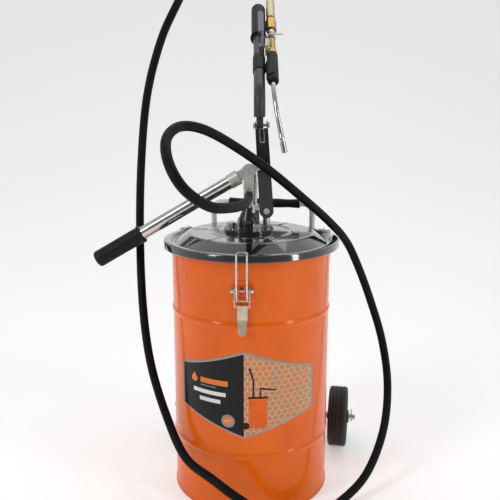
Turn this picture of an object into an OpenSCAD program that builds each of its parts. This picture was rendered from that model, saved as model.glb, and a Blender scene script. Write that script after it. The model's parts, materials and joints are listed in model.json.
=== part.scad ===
/* [Drum] */
// Outside radius of the drum body
drum_r = 150; // [148:0.5:152]
// Height of the drum at its top curl
drum_h = 482.5; // [478:0.5:486]
// Thickness of the drum's steel
drum_wall = 1.5; // [1:0.5:2]
// Turn of the label round the drum, in degrees
label_turn = -4.5; // [-15:0.5:15]

/* [Lid] */
// Height of the lid's flat top
lid_top = 506; // [504:0.5:508]
// Radius of the lid's flat top
lid_flat_r = 119; // [112:1:124]
// Outside radius of the lid's skirt
lid_r = 166; // [165.5:0.1:166]
// Turn of the first clamp round the lid, in degrees
clamp_turn = -5.5; // [-15:0.5:15]

/* [Trolley] */
// Radius of a wheel
wheel_r = 65; // [60:1:68]
// Distance from the middle of the drum to the middle of a wheel, sideways
wheel_x = 167.5; // [165:0.5:172]
// Distance of the axle behind the middle of the drum
axle_y = 161.5; // [160:0.5:166]
// Turn of the axle and bail round the drum, in degrees
trolley_turn = -10; // [-20:1:20]

/* [Pump] */
// Sideways place of the pump head
pump_x = -4; // [-6:0.5:-2]
// Height of the lever's fulcrum
fulcrum_z = 620; // [618:0.5:624]
// Angle of the lever below level at rest, in degrees
lever_drop = 30.4; // [28:0.1:32]
// Length of the lever from its fulcrum
lever_len = 338; // [300:1:360]
// Radius of the lever's tube
lever_r = 12.5; // [12:0.1:12.8]

/* [Handle and gun] */
// Sideways place of the folding handle
handle_x = 16; // [15:0.5:18]
// Lean of the folding handle behind upright, in degrees
handle_lean = 56; // [50:1:60]
// Radius of the handle's tube
handle_r = 11; // [10:0.1:11]
// Sideways place of the gun beside the handle
gun_x = 26; // [25.5:0.1:27]
// Radius of the hose
hose_r = 8; // [7:0.5:8]

/* [Hidden] */
$fn = 72;
shaft_gap = 0.06;
drum_in = drum_r - drum_wall;
hoop_low = 117;
hoop_high = 364;
hoop_out = 2;
hoop_half = 5;
curl_r = 4.5;
base_z = 9;
pad_r = 40;
lid_t = 1.5;
lid_rim_z = 493.5;
gasket_t = 1;
flange_z = lid_top + gasket_t;
flange_t = 5.5;
head_z = flange_z + flange_t;
flange_r = 47.5;
flange_bolt_r = 37.5;
flange_bolt_turns = [-66, 24, 204];
rod_r = 3;
rod_offset = 13;
rod_x = pump_x + rod_offset;
rod_rest = rod_offset * tan(30);
lobe_turn = 150 + lever_drop;
lobe_reach = rod_offset / cos(30);
tube_r = 17;
tube_in = 15;
tube_hole_x = 4;
tube_hole_r = 24.5;
column_r = 10;
column_z = 552;
outlet_z = 578.5;
outlet_end = -40;
clevis_z = 589;
clevis_half = 13;
clevis_in = 8;
lever_half = 7.5;
fulcrum_r = 4;
clamp_turns = [clamp_turn, clamp_turn + 120, clamp_turn + 240];
bolt_r = 160;
bolt_z = 431;
pin_z = 413;
hook_x = 9;
hook_wire = 1.8;
axle_r = 6;
bail_x = 104;
bail_y = 140;
bail_z = 540;
bail_r = 6;
bail_bend = 18;
pole_foot = [29.7, 542];
pole_top = [18.9, 711];
pole_y = 10;
pole_depth = 22;
pole_t = 2;
pole_run = pole_top - pole_foot;
pole_tilt = atan2(pole_run.x, pole_run.y);
pole_len = norm(pole_run);
fold_reach = pole_len - 8;
fold_z = pole_foot.y + fold_reach * cos(pole_tilt);
fold_y = 21;
bend_r = 40;
handle_foot = 718.5;
bend_z = 739;
bend_t = 31;
lean_y = fold_y + bend_r * (1 - cos(handle_lean)) - bend_t * sin(handle_lean);
lean_z = bend_z + bend_r * sin(handle_lean) - bend_t * cos(handle_lean);
grip_t = 212;
handle_end = 340;
gun_y = -6;
ferrule_end = 360;
spout_r = 4.4;
spout_bend = 50;
spout_bend_r = 91;
spout_turn = 75;
pivot_y = -16;
pivot_t = 156;

// The hose's route from the outlet to the gun, chosen by hand
hose_route = [
    [-4, -40, 578.5], [-6, -120, 581], [-12, -195, 585], [-30, -262, 590], [-60, -317, 600],
    [-94, -340, 628], [-117, -320, 663], [-124, -276, 694], [-108, -232, 710], [-75, -192, 704],
    [-30, -137, 676], [30, -91, 631], [95, -42, 574], [151, 20, 520], [190, 57, 474], [217, 67, 420],
    [245, 70, 348], [270, 59, 265], [280, 34, 180], [265, -18, 106], [226, -76, 46], [174, -124, 17],
    [112, -176, 11], [48, -208, 28], [-12, -212, 64], [-68, -182, 90], [-120, -130, 104],
    [-157, -82, 156], [-190, -50, 250], [-208, -14, 352], [-219, 45, 480], [-219, 88, 620],
    [-206, 106, 755], [-178, 116, 860], [-148, 150, 934], [-124, 235, 998], [-95, 335, 1040],
    [-40, 402, 1060], [22, 394, 1032], [42, 308, 961]
];

function unit(v) = v / norm(v);

// A cylinder that runs along X from x1 to x2 at one place in Y and Z
module across(x1, x2, y, z, r) {
    translate([x1, y, z])
        rotate([0, 90, 0])
            cylinder(r = r, h = x2 - x1);
}

// A cylinder that runs along Y from y1 to y2 at one place in X and Z
module along(x, y1, y2, z, r, sides = 72) {
    translate([x, y1, z])
        rotate([-90, 0, 0])
            cylinder(r = r, h = y2 - y1, $fn = sides);
}

// A box between two corners
module block(low, high) {
    translate(low)
        cube(high - low);
}

// A ring or disc round Z from its outline of radii and heights
module turned(outline) {
    rotate_extrude(convexity = 6)
        polygon(outline);
}

// Placing for parts on the lever, whose own Z runs out to the grip
module on_lever() {
    translate([pump_x, 0, fulcrum_z])
        rotate([0, -90 - lever_drop, 0])
            children();
}

// Placing for parts on the leaning handle, whose own Z runs up it
module on_handle() {
    translate([handle_x, lean_y, lean_z])
        rotate([-handle_lean, 0, 0])
            children();
}

// Placing for parts on the gun, beside the leaning handle
module on_gun() {
    on_handle()
        translate([gun_x, gun_y, 0])
            children();
}

// Placing for parts on the trolley
module on_trolley() {
    rotate([0, 0, trolley_turn])
        children();
}

module drum_shell() {
    color("darkorange") {
        turned([[drum_in, 0], [drum_r, 0], [drum_r, drum_h], [drum_in, drum_h]]);
        turned([[drum_r - 0.5, 0], [drum_r + 2, 1], [drum_r + 2, 5], [drum_r - 0.5, 7]]);
        for (z = [hoop_low, hoop_high])
            turned([
                [drum_r - 0.5, z - hoop_half], [drum_r + 0.8 * hoop_out, z - 2.5],
                [drum_r + hoop_out, z], [drum_r + 0.8 * hoop_out, z + 2.5],
                [drum_r - 0.5, z + hoop_half]
            ]);
        translate([0, 0, drum_h])
            rotate_extrude()
                translate([drum_r + 4, 0])
                    circle(r = curl_r);
    }
}

// The pressed base, whose middle pad stands on the floor
module drum_base() {
    color("darkorange")
        turned([
            [0, 0], [pad_r, 0], [pad_r + 8, base_z], [drum_in, base_z], [drum_in, base_z + drum_wall],
            [pad_r + 7, base_z + drum_wall], [pad_r - 1, drum_wall], [0, drum_wall]
        ]);
}

module drum_label() {
    color("black")
        rotate([0, 0, label_turn])
            intersection() {
                turned([[drum_r, 140], [drum_r + 0.3, 140], [drum_r + 0.3, 330], [drum_r, 330]]);
                rotate([90, 0, 0])
                    linear_extrude(height = 200)
                        polygon([
                            [-120, 194], [0, 152.5], [120, 194],
                            [120, 278], [0, 317], [-120, 278]
                        ]);
            }
}

// One raised dash and one raised arc of the lid's pressed pattern
module lid_rib() {
    translate([0, 0, lid_top - 0.5]) {
        rotate([0, 0, -30])
            translate([86, -4, 0])
                cube([27, 8, 1.5]);
        rotate_extrude(angle = 38)
            translate([74, 0])
                square([6, 1.5]);
    }
}

module lid() {
    color("black")
        difference() {
            union() {
                turned([
                    [0, lid_top - lid_t], [lid_flat_r - 0.6, lid_top - lid_t],
                    [143.4, 485.6], [148, 485.6], [149.4, 486.2], [153.2, 492],
                    [lid_r - 1.5, 492], [lid_r - 1.5, 480.5], [lid_r, 480.5],
                    [lid_r, 491.5], [lid_r - 1.4, lid_rim_z], [152.3, lid_rim_z],
                    [148.2, 487.3], [144.2, 487.1], [lid_flat_r + 0.4, lid_top], [0, lid_top]
                ]);
                translate([0, 0, 480.7])
                    rotate_extrude()
                        translate([lid_r - 1.5, 0])
                            circle(r = 1.4);
                for (i = [0:5])
                    rotate([0, 0, 60 * i + 20])
                        lid_rib();
            }
            translate([tube_hole_x, 0, lid_top - 10])
                cylinder(r = tube_hole_r, h = 20);
            for (a = concat(flange_bolt_turns, [114]))
                flange_place(a)
                    cylinder(r = 4.2, h = 40, center = true);
        }
}

// The three clamp brackets: a pad on the drum and two ears
module clamp_brackets() {
    color("darkorange")
        for (a = clamp_turns)
            rotate([0, 0, a])
                difference() {
                    union() {
                        block([-11, -153, 416], [11, -150.05, 446]);
                        for (x = [-6, 4])
                            block([x, -bolt_r - 5.5, bolt_z - 8], [x + 2, -152.5, bolt_z + 8]);
                    }
                    across(-30, 30, -bolt_r, bolt_z, 2.5 + shaft_gap);
                }
}

module clamp_bolts() {
    color("silver")
        for (a = clamp_turns)
            rotate([0, 0, a]) {
                across(-17, 17, -bolt_r, bolt_z, 2.5);
                across(-20, -14.6, -bolt_r, bolt_z, 4.5);
                translate([17.3, -bolt_r, bolt_z])
                    rotate([0, 90, 0])
                        cylinder(r = 4.6, h = 5.4, center = true, $fn = 6);
            }
}

// The flat outline of the thumb plate, from its root down to its pointed tip
module thumb_plate() {
    translate([0, 0, -0.8])
        linear_extrude(height = 1.6)
            polygon([
                [-9, 20], [9, 20], [9, 0], [7.5, -20], [6, -25], [0, -29],
                [-6, -25], [-7.5, -20], [-9, 0]
            ]);
}

// One clamp lever: two cheeks, a web, a bent thumb plate and the cross pin
module clamp_lever(a) {
    color("gold")
        rotate([0, 0, a])
            difference() {
                union() {
                    for (s = [-13, 13]) {
                        block([s - 1, -162.5, 402], [s + 1, -157.5, bolt_z]);
                        across(s - 1, s + 1, -bolt_r, bolt_z, 5.2);
                        across(s - 1, s + 1, -bolt_r, pin_z, 3.6);
                    }
                    block([-14, -159, 400], [14, -157, 404]);
                    block([-9, -159, 378], [9, -157.4, 401]);
                    translate([0, -158.2, 378])
                        rotate([90 - 15, 0, 0])
                            intersection() {
                                thumb_plate();
                                block([-10, -30, -1], [10, 0.6, 1]);
                            }
                    across(-16, 16, -bolt_r, pin_z, 1.5);
                }
                across(-30, 30, -bolt_r, bolt_z, 2.5 + shaft_gap);
            }
}

// The outline of a bent strip, offset to both sides of its middle line
function strip(line, half) =
    let (
        last = len(line) - 1,
        side = [
            for (i = [0:last])
                let (
                    before = unit(line[max(i, 1)] - line[max(i, 1) - 1]),
                    after = unit(line[min(i, last - 1) + 1] - line[min(i, last - 1)]),
                    middle = unit(before + after)
                )
                    half / (middle * before) * [-middle.y, middle.x]
        ]
    )
        concat(
            [for (i = [0:last]) line[i] + side[i]],
            [for (i = [last:-1:0]) line[i] - side[i]]
        );

// One hook, from its two eyes up and over the lid's rim; Y and Z along its strips
module clamp_hook(a) {
    top = 495.7;
    line = [
        [-bolt_r - 2, pin_z + 1], [-166.2, 425], [-169.2, 438], [-169.2, 490],
        [-168, 494], [-165, top], [-152, top]
    ];
    color("silver")
        rotate([0, 0, a])
            difference() {
                union() {
                    for (s = [-hook_x, hook_x]) {
                        across(s - hook_wire, s + hook_wire, -bolt_r, pin_z, 3.6);
                        translate([s - hook_wire, 0, 0])
                            rotate([90, 0, 90])
                                linear_extrude(height = 2 * hook_wire)
                                    polygon(strip(line, hook_wire));
                    }
                    block(
                        [-hook_x - hook_wire, -155.5, top - hook_wire],
                        [hook_x + hook_wire, -152, top + hook_wire]
                    );
                }
                across(-30, 30, -bolt_r, pin_z, 1.5 + shaft_gap);
            }
}

module axle() {
    color("silver")
        on_trolley()
            difference() {
                across(-205, 205, axle_y, wheel_r, axle_r);
                for (s = [-1, 1])
                    translate([s * 197, axle_y, wheel_r])
                        cylinder(r = 1.6, h = 40, center = true);
            }
}

// The two plates that carry the axle behind the drum
module axle_brackets() {
    color("darkorange")
        on_trolley()
            difference() {
                for (s = [-100, 100]) {
                    block([s - 2.5, 105, 40], [s + 2.5, axle_y, 100]);
                    across(s - 2.5, s + 2.5, axle_y, wheel_r, 14);
                }
                for (s = [-100, 100])
                    translate([s - 3, axle_y, 80])
                        rotate([-40, 0, 0])
                            cube([6, 60, 60], center = false);
                cylinder(r = drum_r, h = 200);
                across(-120, 120, axle_y, wheel_r, axle_r + shaft_gap);
            }
}

module tyre(side) {
    color("black")
        on_trolley()
            translate([side * wheel_x, axle_y, wheel_r])
                rotate([0, 90, 0])
                    turned([
                        [42, -15], [50, -19.5], [57, -20], [wheel_r - 3, -18], [wheel_r, -14],
                        [wheel_r, 14], [wheel_r - 3, 18], [57, 20], [50, 19.5], [42, 15]
                    ]);
}

module rim(side) {
    color("dimgray")
        on_trolley()
            translate([side * wheel_x, axle_y, wheel_r])
                rotate([0, 90, 0])
                    turned([
                        [axle_r + shaft_gap, -22.5], [14, -22.5], [14, -4], [36, -4], [36, -15], [42, -15],
                        [42, 15], [36, 15], [36, 4], [14, 4], [14, 22.5], [axle_r + shaft_gap, 22.5]
                    ]);
}

// Spacer tubes inside the wheels, washers outside them and cotter pins through the axle
module axle_fittings() {
    color("silver")
        on_trolley()
            for (s = [-1, 1]) {
                translate([s * wheel_x, axle_y, wheel_r])
                    rotate([0, 90 * s, 0]) {
                        translate([0, 0, 23])
                            turned([[6.06, 0], [13, 0], [13, 2], [6.06, 2]]);
                        translate([0, 0, 102.6 - wheel_x])
                            turned([[6.06, 0], [9, 0], [9, 42], [6.06, 42]]);
                    }
                translate([s * 197, axle_y, wheel_r - 11])
                    cylinder(r = 1.5, h = 22);
                translate([s * 197, axle_y, wheel_r + 14])
                    rotate([0, 90, 0])
                        rotate_extrude()
                            translate([3, 0])
                                circle(r = 1.2, $fn = 24);
            }
}

// The bail: two legs, two round corners and the bar between them
module bail_handle() {
    straight = bail_x - bail_bend;
    color("gainsboro")
        on_trolley()
            difference() {
                union() {
                    for (s = [-1, 1]) {
                        translate([s * bail_x, bail_y, 428])
                            cylinder(r = bail_r, h = bail_z - bail_bend - 428);
                        translate([s * straight, bail_y, bail_z - bail_bend])
                            rotate([90, 0, s > 0 ? 0 : 180])
                                rotate_extrude(angle = 90)
                                    translate([bail_bend, 0])
                                        circle(r = bail_r);
                    }
                    across(-straight, straight, bail_y, bail_z, bail_r);
                }
                for (s = [-1, 1])
                    along(s * bail_x, 120, 160, 440, 3.06);
            }
}

// The bail's soft grip with its finger waves
module bail_grip() {
    color("black")
        on_trolley()
            translate([-70, bail_y, bail_z])
                rotate([0, 90, 0])
                    turned(concat(
                        [[bail_r + 0.02, 0], [9.5, 0], [9.5, 3]],
                        [for (i = [1:36]) [8.9 + 0.5 * cos(i * 30), 3 + i * 4]],
                        [[9.5, 148], [bail_r + 0.02, 148]]
                    ));
}

// Lugs on the drum for the bail's feet
module bail_lugs() {
    color("darkorange")
        on_trolley()
            difference() {
                for (s = [-bail_x, bail_x])
                    block([s - 7, 95, 426], [s + 7, bail_y - bail_r - 0.1, 454]);
                cylinder(r = drum_r, h = 600);
                for (s = [-1, 1])
                    along(s * bail_x, 100, 160, 440, 3.06);
            }
}

// A place on the flange's bolt circle
module flange_place(a) {
    translate([pump_x + flange_bolt_r * sin(a), -flange_bolt_r * cos(a), flange_z])
        children();
}

module pump_head() {
    color("black")
        difference() {
            union() {
                translate([pump_x, 0, 0])
                    turned([
                        [0, flange_z], [flange_r, flange_z], [flange_r, head_z - 1],
                        [flange_r - 1, head_z], [22, head_z], [20.5, head_z + 1.5], [20.5, 529],
                        [10.2, column_z], [0, column_z]
                    ]);
                translate([rod_x, 0, head_z])
                    cylinder(r = 6.8, h = 34);
                translate([5, -11, head_z])
                    cylinder(r = 4, h = 30);
            }
            translate([rod_x, 0, flange_z - 1])
                cylinder(r = 4, h = 60);
            translate([5, -11, 532])
                cylinder(r = 2, h = 20);
            for (a = concat(flange_bolt_turns, [114]))
                flange_place(a)
                    cylinder(r = 4.2, h = 40, center = true);
        }
}

// The seal rings under the lid's rim and under the flange
module gaskets() {
    color("dimgray") {
        turned([[154, 487], [159, 487], [159, 492], [154, 492]]);
        difference() {
            translate([pump_x, 0, lid_top])
                cylinder(r = flange_r, h = gasket_t);
            translate([tube_hole_x, 0, lid_top - 1])
                cylinder(r = tube_hole_r, h = 4);
            for (a = concat(flange_bolt_turns, [114]))
                flange_place(a)
                    cylinder(r = 4.2, h = 40, center = true);
        }
    }
}

// Hexagon bolts through the flange and the lid, with nuts below, and the bail's two bolts
module hex_bolts() {
    color("silver") {
        on_trolley()
            for (s = [-1, 1]) {
                along(s * bail_x, 124, bail_y + 6, 440, 3);
                along(s * bail_x, bail_y + 5.9, bail_y + 10, 440, 5.8, 6);
            }
        for (a = flange_bolt_turns)
            flange_place(a) {
                translate([0, 0, flange_t]) {
                    cylinder(r = 8, h = 1.6);
                    translate([0, 0, 1.5])
                        cylinder(r = 7.5, h = 11, $fn = 6);
                }
                translate([0, 0, -14])
                    cylinder(r = 4, h = 14 + flange_t + 1);
                translate([0, 0, -gasket_t - lid_t - 6.5])
                    cylinder(r = 7.5, h = 6.5, $fn = 6);
            }
    }
}

module bleed_screw() {
    color("white")
        translate([5, -11, 0]) {
            translate([0, 0, 533])
                cylinder(r = 1.95, h = 10);
            translate([0, 0, 542.05])
                cylinder(r = 3.2, h = 5);
            translate([0, 0, 547])
                cylinder(r = 2, h = 8);
            translate([0, 0, 555])
                sphere(r = 2.6, $fn = 32);
        }
}

module outlet_column() {
    color("silver")
        difference() {
            union() {
                translate([pump_x, 0, column_z])
                    cylinder(r = column_r, h = clevis_z - column_z);
                along(pump_x, -24, 0, outlet_z, 9.8);
            }
            along(pump_x, -30, 0, outlet_z, 4);
            translate([rod_x, 0, column_z - 1])
                cylinder(r = 7, h = 12);
            translate([rod_x, 0, column_z - 1])
                cylinder(r = rod_r + 0.5, h = 60);
        }
}

module outlet_fitting() {
    color("silver") {
        difference() {
            union() {
                along(pump_x, -31, -24, outlet_z, 9.2, 6);
                along(pump_x, outlet_end, -30.9, outlet_z, 8.8);
                along(pump_x, -24, -14, outlet_z, 3.9);
            }
            along(pump_x, -50, 0, outlet_z, 2.5);
        }
    }
}

// The post above the column: two cheeks round the lever's head
module clevis_post() {
    color("silver")
        difference() {
            union() {
                block([pump_x - 10, -clevis_half, clevis_z], [pump_x + 10, clevis_half, fulcrum_z]);
                along(pump_x, -clevis_half, clevis_half, fulcrum_z, 10);
            }
            block([pump_x - 20, -clevis_in, 596.5], [pump_x + 20, clevis_in, 700]);
            along(pump_x, -30, 30, fulcrum_z, fulcrum_r + shaft_gap);
        }
}

module fulcrum_bolt() {
    color("silver") {
        along(pump_x, -clevis_half, 18, fulcrum_z, fulcrum_r);
        difference() {
            along(pump_x, -19, -clevis_half, fulcrum_z, 6.5);
            along(pump_x, -25, -15.5, fulcrum_z, 3.4, 6);
        }
        along(pump_x, clevis_half, 18.5, fulcrum_z, 7.2, 6);
    }
}

// The lever's head: hub, forked lobe with its slot, arm and socket for the tube
module lever_head() {
    color("silver")
        on_lever()
            difference() {
                union() {
                    rotate([90, 0, 0])
                        cylinder(r = 13, h = 2 * lever_half, center = true);
                    block([-9, -7.3, 6], [10, 7.3, 25]);
                    rotate([0, lobe_turn, 0])
                        block([-8, -7.1, 6], [8, 7.1, 21]);
                    turned([
                        [0, 21.5], [13.2, 21.5], [14.2, 22.5], [14.2, 25.5], [13.8, 42],
                        [lever_r, 42], [lever_r, 30], [0, 30]
                    ]);
                }
                rotate([90, 0, 0])
                    cylinder(r = fulcrum_r + shaft_gap, h = 60, center = true);
                rotate([0, 90 + lever_drop, 0])
                    fork_gap();
                rotate([0, lobe_turn, 0])
                    block([-2.85, -20, rod_offset - 2.85], [2.85, 20, lobe_reach + 2.85]);
            }
}

// The space that the piston rod swings through
module fork_gap() {
    difference() {
        block([0.5, -3.4, -30], [40, 3.4, 40]);
        rotate([90, 0, 0])
            cylinder(r = 7.2, h = 20, center = true);
    }
}

module lever_tube() {
    color("gainsboro")
        on_lever()
            translate([0, 0, 30])
                turned([[11, 0], [lever_r, 0], [lever_r, 300], [11, 300]]);
}

module lever_grip() {
    color("black")
        on_lever()
            turned([
                [lever_r, 235], [16, 235], [17.5, 236], [17.5, 240], [16, 242], [16, lever_len - 5],
                [14.5, lever_len - 1.5], [11, lever_len], [0, lever_len], [0, 330], [lever_r, 330]
            ]);
}

module rod_pin() {
    color("silver")
        along(rod_x, -lever_half + 0.2, lever_half - 0.2, fulcrum_z + rod_rest, 2.5);
}

module piston_rod() {
    color("gainsboro")
        difference() {
            union() {
                translate([rod_x, 0, 116])
                    cylinder(r = rod_r, h = fulcrum_z + rod_rest - 116);
                along(rod_x, -3, 3, fulcrum_z + rod_rest, 5.2);
            }
            along(rod_x, -10, 10, fulcrum_z + rod_rest, 2.5);
        }
}

module rod_gland() {
    color("silver")
        translate([rod_x, 0, 0])
            difference() {
                union() {
                    translate([0, 0, 536])
                        cylinder(r = 3.98, h = 12);
                    translate([0, 0, head_z + 34])
                        cylinder(r = 6.4, h = 11, $fn = 6);
                }
                cylinder(r = rod_r + shaft_gap, h = 700);
            }
}

module piston() {
    color("dimgray")
        translate([rod_x, 0, 110])
            difference() {
                turned([
                    [0, 0], [tube_in - 1, 0], [tube_in - shaft_gap, 1.5], [tube_in - shaft_gap, 18],
                    [tube_in - 1, 20], [0, 20]
                ]);
                translate([0, 0, 6])
                    cylinder(r = rod_r, h = 20);
            }
}

module pump_tube() {
    color("gainsboro")
        translate([rod_x, 0, 0])
            difference() {
                turned([[tube_in, 28], [tube_r, 28], [tube_r, flange_z], [tube_in, flange_z]]);
                across(-30, 30, 0, 480, 3);
            }
}

module foot_valve() {
    color("goldenrod")
        translate([rod_x, 0, 0])
            difference() {
                union() {
                    translate([0, 0, 28])
                        cylinder(r = tube_in, h = 14);
                    translate([0, 0, 22])
                        cylinder(r = tube_r, h = 6);
                }
                translate([0, 0, 10])
                    cylinder(r = 5, h = 40);
            }
}

module check_ball() {
    color("gainsboro")
        translate([rod_x, 0, 42 + sqrt(49 - 25)])
            sphere(r = 7, $fn = 48);
}

// The cup with slots below the foot valve
module strainer() {
    color("gainsboro")
        translate([rod_x, 0, 0])
            difference() {
                turned([[0, 11], [tube_r, 11], [tube_r, 22], [tube_r - 1.2, 22], [tube_r - 1.2, 12.2], [0, 12.2]]);
                for (i = [0:7])
                    rotate([0, 0, 45 * i])
                        block([10, -1.5, 14], [20, 1.5, 20]);
            }
}

module follower_plate() {
    color("gray")
        difference() {
            union() {
                turned([[0, 400], [144, 400], [144, 402], [110, 402], [100, 408], [0, 408]]);
            }
            turned([[0, 399], [109, 399], [109, 400], [99, 406], [0, 406]]);
            translate([rod_x, 0, 390])
                cylinder(r = tube_r + 4, h = 30);
        }
}

module follower_seal() {
    color("dimgray") {
        turned([[144, 398], [147.8, 396], [147.8, 404], [144, 404]]);
        translate([rod_x, 0, 406])
            turned([[tube_r + 0.4, -1], [tube_r + 4, -1], [tube_r + 4, 3], [tube_r + 0.4, 3]]);
    }
}

// Placing for parts on the lower channel, whose own Z runs up it
module on_pole() {
    translate([pole_foot.x, 0, pole_foot.y])
        rotate([0, pole_tilt, 0])
            children();
}

// The lower channel: a web in front and two flanges behind it
module pole_channel() {
    color("black")
        on_pole()
            difference() {
                pole_blank(pole_len, 0, pole_y, pole_y + pole_depth);
                pole_blank(pole_len + 20, pole_t, pole_y + pole_t, pole_y + pole_depth + 1);
                block([-30, pole_y - 1, pole_len - 13], [30, pole_y + 5, pole_len + 20]);
                block([-8.6, pole_y + pole_t, -20], [8.6, pole_y + pole_depth + 1, 0]);
                along(0, 0, 40, 0, 4.1);
                pole_slot();
                across(-40, 40, fold_y, fold_reach, 3 + shaft_gap);
            }
}

// A tapered slab with a round foot, inset by a margin
module pole_blank(long, margin, y1, y2) {
    foot = 13.5 - margin;
    top = 11.8 - margin;
    translate([0, y2, 0])
        rotate([90, 0, 0])
            linear_extrude(height = y2 - y1)
                union() {
                    circle(r = foot);
                    polygon([[-foot, 0], [foot, 0], [top, long], [-top, long]]);
                }
}

// The long slot near the top of the channel's web
module pole_slot() {
    low = pole_len - 36;
    high = pole_len - 13;
    along(0, pole_y - 1, pole_y + 5, low, 4);
    along(0, pole_y - 1, pole_y + 5, high, 4);
    block([-4, pole_y - 1, low], [4, pole_y + 5, high]);
}

// The stud on the flange that carries the channel
module pole_post() {
    color("silver")
        difference() {
            union() {
                translate([pole_foot.x, 19.5, head_z])
                    cylinder(r = 8, h = 3, $fn = 6);
                translate([pole_foot.x, 19.5, head_z])
                    cylinder(r = 7.4, h = 41);
            }
            along(pole_foot.x, 0, 40, pole_foot.y, 4.02);
        }
}

// The bolt at the channel's foot and the fold pin at its top
module pole_pins() {
    color("silver") {
        along(pole_foot.x, pole_y, 31, pole_foot.y, 4);
        along(pole_foot.x, pole_y - 3, pole_y, pole_foot.y, 5.8);
        along(pole_foot.x, 27, 31, pole_foot.y, 6, 6);
        on_pole() {
            across(-13, 13, fold_y, fold_reach, 3);
            across(-15.5, -12.2, fold_y, fold_reach, 5);
            across(12.2, 15.5, fold_y, fold_reach, 5);
        }
    }
}

// The bent round tube of the folding handle, solid at one radius
module handle_core(r, foot) {
    translate([handle_x, fold_y, foot])
        cylinder(r = r, h = bend_z - foot);
    translate([handle_x, fold_y + bend_r, bend_z])
        rotate([90, 0, -90])
            rotate_extrude(angle = handle_lean)
                translate([bend_r, 0])
                    circle(r = r);
    on_handle()
        translate([0, 0, bend_t])
            cylinder(r = r, h = 330 - bend_t);
}

// The tube and the flat tongue at its foot, which turns on the fold pin
module handle_tube() {
    color("dimgray")
        difference() {
            union() {
                difference() {
                    handle_core(handle_r, handle_foot);
                    handle_core(handle_r - 1.5, handle_foot + 4);
                }
                block([handle_x - 6, fold_y - 5.5, fold_z], [handle_x + 7, fold_y + 5.5, handle_foot + 1]);
                across(handle_x - 6, handle_x + 7, fold_y, fold_z, 6);
            }
            on_pole()
                across(-30, 30, fold_y, fold_reach, 3 + shaft_gap);
        }
}

module handle_grip() {
    color("black")
        on_handle()
            turned([
                [handle_r, grip_t], [17, grip_t], [17, grip_t + 3], [15, grip_t + 8],
                [15, handle_end - 8], [13, handle_end - 3], [9, handle_end], [0, handle_end],
                [0, 330], [handle_r, 330]
            ]);
}

// The band on the handle's tube and the cradle that holds the gun
module gun_clip() {
    color("black")
        on_handle() {
            turned_at(85, 135, handle_r + 0.02, 12.6);
            difference() {
                translate([gun_x, gun_y, 0])
                    turned_at(54, 108, 11.02, 13);
                block([gun_x + 3, -40, 50], [gun_x + 40, 40, 120]);
            }
            difference() {
                block([9, -4, 86], [16, 2, 107]);
                cylinder(r = handle_r + 0.5, h = 200);
                translate([gun_x, gun_y, 0])
                    cylinder(r = 11.5, h = 200);
            }
        }
}

// A plain ring between two heights and two radii
module turned_at(z1, z2, r1, r2) {
    turned([[r1, z1], [r2, z1], [r2, z2], [r1, z2]]);
}

module gun_grip() {
    color("black")
        on_gun()
            turned([
                [4.5, 40], [8.5, 40], [11, 44], [11, 134], [10, 137], [4.5, 137]
            ]);
}

module gun_body() {
    color("goldenrod")
        on_gun()
            difference() {
                union() {
                    turned_at(60, 137, 0, 4.5);
                    turned([
                        [0, 137], [9.5, 137], [9.5, 148], [7.5, 152], [7.5, 196], [8.5, 198],
                        [8.5, 203], [0, 203]
                    ]);
                }
                translate([0, 0, 178])
                    rotate([90, 0, 0])
                        cylinder(r = 1.5 + shaft_gap, h = 20);
            }
}

module gun_bracket() {
    color("peru")
        on_handle()
            difference() {
                union() {
                    block([12.4, -12, 147], [gun_x - 3, 1, 193]);
                    block([12.4, -20, 148], [15.4, -8, 164]);
                }
                translate([gun_x, gun_y, 0])
                    cylinder(r = 9.52, h = 151.9);
                translate([gun_x, gun_y, 151])
                    cylinder(r = 7.52, h = 60);
                across(0, 30, pivot_y, pivot_t, 2);
            }
}

// The trigger's pivot pin, and the thin wire that stands out beside the gun
module gun_pins() {
    color("silver") {
        on_handle() {
            across(2.6, 18, pivot_y, pivot_t, 2);
            across(1, 2.7, pivot_y, pivot_t, 3.4);
        }
        on_gun()
            across(-7, 23, -10.05, 200.5, 1.5);
    }
}

// The trigger: hub on the pivot, arm, cross bar over the valve pin and paddle
module gun_trigger() {
    color("slategray")
        on_handle()
            difference() {
                union() {
                    across(3.1, 12, pivot_y, pivot_t, 4);
                    translate([4, pivot_y - 4, pivot_t])
                        rotate([13, 0, 0])
                            cube([6, 5, 38]);
                    across(4, gun_x + 3, -22.4, 178, 2);
                    block([-1.5, -28.6, 192], [10, -23.6, 268]);
                    translate([4.25, -23.6, 268])
                        rotate([90, 0, 0])
                            cylinder(r = 5.75, h = 5);
                }
                across(-10, 14, pivot_y, pivot_t, 2 + shaft_gap);
            }
}

module gun_valve_pin() {
    color("gainsboro")
        on_gun()
            translate([0, -2, 178])
                rotate([90, 0, 0])
                    cylinder(r = 1.5, h = 11.6);
}

// The ball, collar and threaded neck between the body and the nut
module gun_collar() {
    color("silver")
        on_gun() {
            turned([[0, 203], [5, 203], [7.5, 207], [7.5, 211], [5.5, 215], [0, 215]]);
            turned_at(215, 232, 0, 5.5);
            turned_at(218, 226, 0, 7.4);
        }
}

module gun_nut() {
    color("goldenrod")
        on_gun()
            translate([0, 0, 232])
                cylinder(r = 11.5, h = 40, $fn = 6);
}

module hose_ferrule() {
    color("khaki")
        on_gun() {
            turned_at(272, 281, 0, 7.6);
            turned([[0, 281], [9.5, 281], [9.5, 284], [9, 285], [9.5, 300], [9.2, ferrule_end - 0.2], [0, ferrule_end - 0.2]]);
        }
}

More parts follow.
